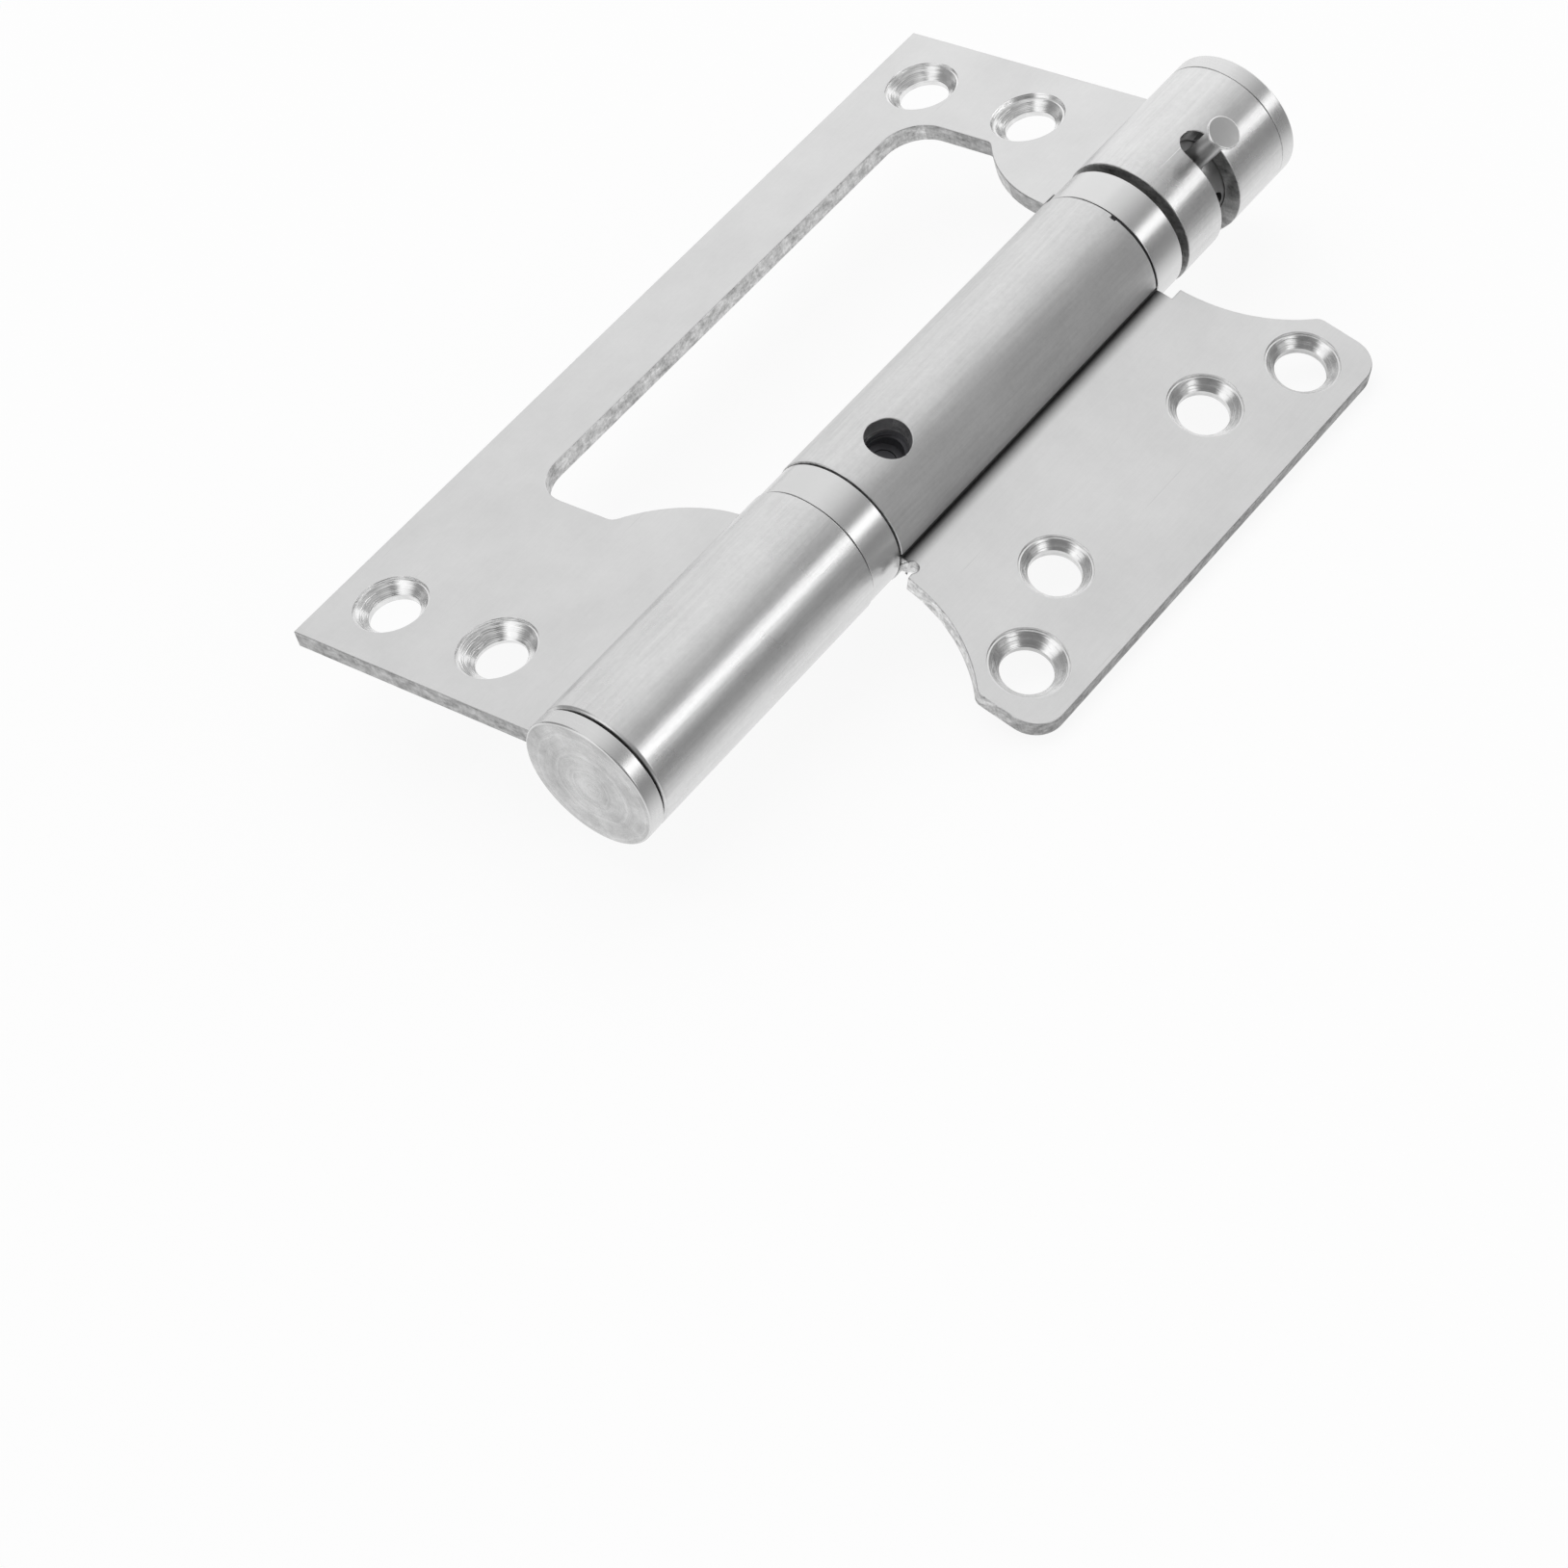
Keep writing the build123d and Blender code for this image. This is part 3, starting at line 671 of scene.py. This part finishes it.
class HINGE_OT_leaves(bpy.types.Operator):
    """Dresses the two leaves with their knuckles and countersinks"""

    bl_idname = "hinge.leaves"
    bl_label = "Leaves"

    def execute(self, context):
        settings = context.scene.hinge
        edge = settings.edge_break
        sheet = sheet_paint(settings.sheet_level, 0.34, pi, settings.knuckle_roughness)
        steels = leaf_steels("large_leaf", sheet, cut_level=0.53, sheared_level=0.395, turn=0.0)
        centres = screw_centres("outer_leaf_screws")
        make_leaf("large_leaf", "outer_leaf", UP, centres, steels, edge)

        normal = SMALL_LEAF_NORMAL
        droop = -normal.angle(UP)
        sheet = sheet_paint(settings.small_sheet_level, 0.36, droop, 0.42)
        steels = leaf_steels("small_leaf", sheet, cut_level=0.64, sheared_level=0.68, turn=droop)
        centres = screw_centres("inner_leaf_inner_screws", "inner_leaf_outer_screws")
        make_leaf("small_leaf", "inner_leaf", normal, centres, steels, edge)
        return {"FINISHED"}


# Turned pieces

def rounded(centre, radius, low, high, steps=4):
    """Points of an arc in a profile, from one angle to another in degrees."""
    turns = [radians(low + (high - low) * i / steps) for i in range(steps + 1)]
    return [(centre[0] + radius * cos(turn), centre[1] + radius * sin(turn)) for turn in turns]


def make_ring(name, node, edge, bore, steel, steps):
    """A plain ring that fills a node's box, its outer corners rounded."""
    low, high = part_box(node)
    radius = (high.x - low.x) / 2
    near, far = low.y - AXIS.y, high.y - AXIS.y
    profile = [(bore, near)] + rounded((radius - edge, near + edge), edge, -90, 0)
    profile += rounded((radius - edge, far - edge), edge, 0, 90) + [(bore, far)]
    bm = spun(profile, AXIS, ALONG, steps)
    ring = new_piece(name, bm, [steel], "outer_leaf")
    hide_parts(node)
    shade(ring)


def make_cap(name, node, outward, gap, edge, steel, steps):
    """A turned cap: a disc with a rounded rim, a gap off its knuckle, and a spigot inside it."""
    low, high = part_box(node)
    radius = (high.x - low.x) / 2
    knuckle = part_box("outer_leaf")
    face, tip, mouth = low.y, high.y, knuckle[0].y
    if outward > 0:
        face, tip, mouth = high.y, low.y, knuckle[1].y
    thickness, depth = abs(face - mouth) - gap, abs(tip - face)
    spigot_r = radius - SHEET - SPIGOT_PLAY
    relief, back_edge = 0.4 * MM, 0.1 * MM
    # Heights run from the face inwards.
    profile = [(0, 0)] + rounded((radius - edge, edge), edge, -90, 0, 6)
    profile += rounded((radius - back_edge, thickness - back_edge), back_edge, 0, 90, 3)
    profile += [(spigot_r - relief, thickness), (spigot_r - relief, thickness + relief)]
    profile += [(spigot_r, thickness + relief), (spigot_r, depth), (0, depth)]
    start = Vector((AXIS.x, face, AXIS.z))
    bm = spun(profile, start, Vector((0, -outward, 0)), steps)
    cap = new_piece(name, bm, [steel], "outer_leaf")
    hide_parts(node)
    shade(cap)


class HINGE_OT_turned(bpy.types.Operator):
    """Makes the end caps and bearing rings"""

    bl_idname = "hinge.turned"
    bl_label = "Caps and rings"

    def execute(self, context):
        settings = context.scene.hinge
        steps = settings.turning_steps
        cap_steel = finish_material("cap_steel", cap_paint(0.54, 0.70, 0.27))
        ring_steel = finish_material("ring_steel", turned_paint(0.70, 0.25, 0.5))
        edge = settings.cap_rounding
        near_gap, far_gap = 0.42 * MM, 0.03 * MM
        make_cap("near_cap", "lower_end_cap", -1, near_gap, edge, cap_steel, steps)
        make_cap("far_cap", "upper_end_cap", 1, far_gap, edge, cap_steel, steps)
        edge = settings.turned_edge
        make_ring("near_ring", "lower_bearing_ring", edge, NEAR_RING_BORE, ring_steel, steps)
        make_ring("far_ring", "upper_bearing_ring", edge, FAR_RING_BORE, ring_steel, steps)
        return {"FINISHED"}


# Tension pin

class HINGE_OT_pin(bpy.types.Operator):
    """Makes the tension pin"""

    bl_idname = "hinge.pin"
    bl_label = "Tension pin"

    def execute(self, context):
        foot, top = 3.8 * MM, PIN_TOP
        shank_r, head_r, head = 1.45 * MM, 2.2 * MM, 0.55 * MM
        chamfer, under_edge, top_edge = 0.3 * MM, 0.1 * MM, 0.2 * MM
        profile = [(0, foot), (shank_r - chamfer, foot), (shank_r, foot + chamfer)]
        profile += [(shank_r, top - head)]
        profile += rounded((head_r - under_edge, top - head + under_edge), under_edge, -90, 0, 3)
        profile += rounded((head_r - top_edge, top - top_edge), top_edge, 0, 90, 5) + [(0, top)]
        start = AXIS + Vector((0, JOINTS["collar_turn"]["pos_m"][1] - AXIS.y, 0))
        axis = Vector(JOINTS["pin_pull"]["axis"]).normalized()
        steel = finish_material("pin_steel", pin_paint(start, axis, head_r))
        bm = spun(profile, start, axis, steps=64)
        pin = new_piece("headed_pin", bm, [steel], "tension_pin")
        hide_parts("tension_pin")
        shade(pin)
        return {"FINISHED"}


# Works inside the barrel

class HINGE_OT_works(bpy.types.Operator):
    """Gives the spring, collar, bushes, washers and damper their finishes"""

    bl_idname = "hinge.works"
    bl_label = "Works"

    def execute(self, context):
        settings = context.scene.hinge
        spring_colour = tuple(settings.spring_colour) + (1.0,)
        finishes = {
            "collar_steel": (turned_paint(0.40, 0.30, 0.6), ["adjusting_collar", "spindle"]),
            "liner_steel": (drawn_paint((0.36, 0.36, 0.37, 1), 0.36), ["knuckle_liner"]),
            "anchor_steel": (
                cast_paint((0.16, 0.16, 0.17, 1), 0.45),
                ["spring_anchor", "anchor_key"],
            ),
            "spring_steel": (drawn_paint(spring_colour, 0.38), ["torsion_spring"]),
            "grey_nylon": (
                moulded_paint((0.10, 0.10, 0.105, 1), 0.5),
                ["lower_thrust_washer", "centre_thrust_washer", "upper_thrust_washer"],
            ),
            "white_acetal": (
                moulded_paint((0.82, 0.81, 0.78, 1), 0.4),
                ["lower_bush", "centre_bush", "upper_bush", "damper_rotor"],
            ),
            "damper_alloy": (
                cast_paint((0.66, 0.66, 0.68, 1), 0.4),
                ["damper_body", "damper_retainer"],
            ),
            "seal_rubber": (moulded_paint((0.025, 0.025, 0.027, 1), 0.6), ["damper_seal"]),
        }
        for name, (paint, nodes) in finishes.items():
            material = finish_material(name, paint)
            for node in nodes:
                dress(node, material)
        return {"FINISHED"}


# Stage

def glow(graph, strength):
    return graph.node("ShaderNodeEmission", {}, {"Color": (1, 1, 1, 1), "Strength": strength})


def seen_rays(graph):
    """1 for rays from the camera, from gloss or through glass."""
    camera, gloss, glass = (graph.node("ShaderNodeLightPath", {}, {}, i) for i in (0, 3, 6))
    return (camera + gloss + glass).clamped()


def stage_object(name, bm, material):
    thing = new_object(name, bm, [material])
    return thing


def gloss_card(name, bm, material):
    """A card of the stage that only gloss sees."""
    card = stage_object(name, bm, material)
    card.visible_camera = False
    card.visible_diffuse = False
    card.visible_shadow = False
    card.visible_transmission = False


def swept(ends, centre, axis, degrees, steps):
    """A wall swept from the line between two points about an axis."""
    bm = bmesh.new()
    verts = [bm.verts.new(end) for end in ends]
    line = bm.edges.new(verts)
    bmesh.ops.spin(bm, geom=verts + [line], cent=centre, axis=axis, angle=radians(degrees), steps=steps)
    return bm


def area_light(name, towards, reach, width, length, radiance, in_gloss=True):
    """A soft box that looks at the barrel from reach away. Its radiance is 1 where a white wall's is."""
    lamp = bpy.data.lights.new(name, "AREA")
    lamp.shape = "RECTANGLE"
    lamp.size = width
    lamp.size_y = length
    lamp.energy = radiance * pi * width * length
    holder = bpy.data.objects.new(name, lamp)
    direction = Vector(towards).normalized()
    holder.location = AXIS + direction * reach
    across = ALONG.cross(direction).normalized()
    along = direction.cross(across)
    holder.rotation_euler = Matrix((across, along, direction)).transposed().to_euler()
    holder.visible_camera = False
    holder.visible_glossy = in_gloss
    bpy.context.scene.collection.objects.link(holder)
    return holder


def floor_surface(graph):
    """A white card for the light it throws back, and mostly a glow of 1 where it is seen."""
    card = graph.node("ShaderNodeBsdfDiffuse", {}, {"Color": (0.96, 0.96, 0.96, 1)})
    share = seen_rays(graph) * 0.88
    return graph.node("ShaderNodeMixShader", {}, {0: share, 1: card, 2: glow(graph, 1.0)})


def make_floor():
    half_width = 3.0
    bm = bmesh.new()
    bmesh.ops.create_grid(bm, x_segments=1, y_segments=1, size=half_width)
    bmesh.ops.translate(bm, verts=bm.verts, vec=(AXIS.x, 0, FLOOR_Z))
    stage_object("floor", bm, new_material("floor", floor_surface))


def card_surface(graph):
    """Dark beside the barrel's highlight and bright further round."""
    x, _, z = graph.from_point()
    return glow(graph, graph.levels(z.arctan2(x) * (180 / pi), CARD_LEVELS))


def make_cards():
    """Grey cards that only gloss sees: one lying beside the barrel, one curving up and over it."""
    material = new_material("studio_card", card_surface)
    off_axis, off_floor, width, length = 12 * MM, 0.05 * MM, 0.9, 1.8
    lying = bmesh.new()
    bmesh.ops.create_grid(lying, x_segments=1, y_segments=1, size=0.5)
    bmesh.ops.scale(lying, verts=lying.verts, vec=(width, length, 1))
    shift = Vector((AXIS.x + off_axis + width / 2, 0.3, FLOOR_Z + off_floor))
    bmesh.ops.translate(lying, verts=lying.verts, vec=shift)
    gloss_card("lying_card", lying, material)
    near, far, reach = -0.6, 1.8, 0.95
    ends = [(AXIS.x + reach, y, AXIS.z) for y in (near, far)]
    curved = swept(ends, AXIS, (0, -1, 0), degrees=100, steps=24)
    gloss_card("curved_card", curved, material)


def screen_surface(graph):
    """Light and dark bands by bearing, with a low bright patch a little to the right of the camera."""
    x, y, z = graph.from_point(Vector((0, 0, 0)))
    # The bearing is worked out about the screen's middle, so that it doesn't jump on the screen.
    middle = (SCREEN_LEVELS[0][0] + SCREEN_LEVELS[-1][0]) / 2
    towards = radians(CAMERA_BEARING + middle)
    ahead = x * cos(towards) + y * sin(towards)
    aside = y * cos(towards) - x * sin(towards)
    bearing = aside.arctan2(ahead) * (180 / pi) + middle
    band = graph.levels(bearing, SCREEN_LEVELS)
    patch = bearing.ramp(20.0, 27.0) * (1 - bearing.ramp(40.0, 50.0)) * (1 - z.ramp(260.0, 420.0))
    return glow(graph, band * SCREEN_BRIGHTEST + patch * 0.7)


def make_front_screen():
    """A standing screen round the camera's side, seen only in the gloss of the countersinks."""
    first, last = SCREEN_LEVELS[0][0], SCREEN_LEVELS[-1][0]
    start, reach, top = radians(CAMERA_BEARING + first), 0.9, 1.6
    ends = [(reach * cos(start), reach * sin(start), z) for z in (FLOOR_Z, top)]
    screen = swept(ends, (0, 0, 0), (0, 0, 1), degrees=last - first, steps=54)
    gloss_card("front_screen", screen, new_material("front_screen", screen_surface))


def make_world():
    world = bpy.data.worlds.new("studio")
    bpy.context.scene.world = world
    world.use_nodes = True
    graph = Graph(world.node_tree)
    # The camera sees white. Gloss sees the wall behind the large leaf fade a little towards the near end.
    dim = 0.62
    camera_ray = graph.node("ShaderNodeLightPath", {}, {}, 0)
    gloss_ray = (seen_rays(graph) - camera_ray).clamped()
    coordinates = graph.node("ShaderNodeTexCoord", {}, {}, "Generated")
    towards_far = graph.node("ShaderNodeSeparateXYZ", {}, {0: coordinates}, 1)
    wall = 0.86 + towards_far.ramp(0.38, 0.60) * 0.14 + towards_far.ramp(0.50, 0.62) * 0.12
    strength = dim + camera_ray * (1 - dim) + gloss_ray * (wall - dim)
    sky = graph.node("ShaderNodeBackground", {}, {"Color": (1, 1, 1, 1), "Strength": strength})
    graph.node("ShaderNodeOutputWorld", {}, {"Surface": sky})


def make_camera():
    """A camera at the place and turn fitted to the photo."""
    camera = bpy.data.objects.new("camera", bpy.data.cameras.new("camera"))
    camera.data.lens = 103.214
    camera.data.sensor_width = 36.0
    camera.data.clip_start = 0.02
    camera.location = (0.3404008, -0.2830867, 0.3472888)
    camera.rotation_mode = "QUATERNION"
    camera.rotation_quaternion = Quaternion((0.8801125, 0.3246847, 0.2260766, 0.2624332))
    bpy.context.scene.collection.objects.link(camera)
    bpy.context.scene.camera = camera


class HINGE_OT_stage(bpy.types.Operator):
    """Sets the floor, the soft boxes, the cards and the camera"""

    bl_idname = "hinge.stage"
    bl_label = "Stage"

    def execute(self, context):
        make_world()
        make_floor()
        make_cards()
        make_front_screen()
        area_light(
            "overhead_box", towards=(-0.35, 0.25, 0.9), reach=1.4, width=1.6, length=1.6,
            radiance=0.9, in_gloss=False,
        )
        strip = area_light(
            "strip_box", towards=(0.828, 0.453, 0.328), reach=0.8, width=0.225, length=1.3,
            radiance=1.40,
        )
        # The small leaf is flagged off from the strip box, so its knuckle shows no highlight.
        flagged = bpy.data.collections.new("flagged_from_strip_box")
        flagged.objects.link(bpy.data.objects["small_leaf"])
        strip.light_linking.receiver_collection = flagged
        flagged.collection_objects[0].light_linking.link_state = "EXCLUDE"
        make_camera()
        context.scene.view_settings.view_transform = "Standard"
        return {"FINISHED"}


class HINGE_PT_panel(bpy.types.Panel):
    """Lists the hinge's pieces and its stage"""

    bl_label = "Hinge"
    bl_idname = "HINGE_PT_panel"
    bl_space_type = "VIEW_3D"
    bl_region_type = "UI"
    bl_category = "Hinge"

    def draw(self, context):
        for name in HingeSettings.__annotations__:
            self.layout.prop(context.scene.hinge, name)
        for operator in OPERATORS:
            self.layout.operator(operator.bl_idname)


OPERATORS = (HINGE_OT_leaves, HINGE_OT_turned, HINGE_OT_pin, HINGE_OT_works, HINGE_OT_stage)
CLASSES = (HingeSettings,) + OPERATORS + (HINGE_PT_panel,)


def register():
    for cls in CLASSES:
        bpy.utils.register_class(cls)
    bpy.types.Scene.hinge = PointerProperty(type=HingeSettings)


def unregister():
    del bpy.types.Scene.hinge
    for cls in reversed(CLASSES):
        bpy.utils.unregister_class(cls)


def main():
    register()
    bpy.ops.hinge.leaves()
    bpy.ops.hinge.turned()
    bpy.ops.hinge.pin()
    bpy.ops.hinge.works()
    bpy.ops.hinge.stage()


if __name__ == "__main__":
    main()
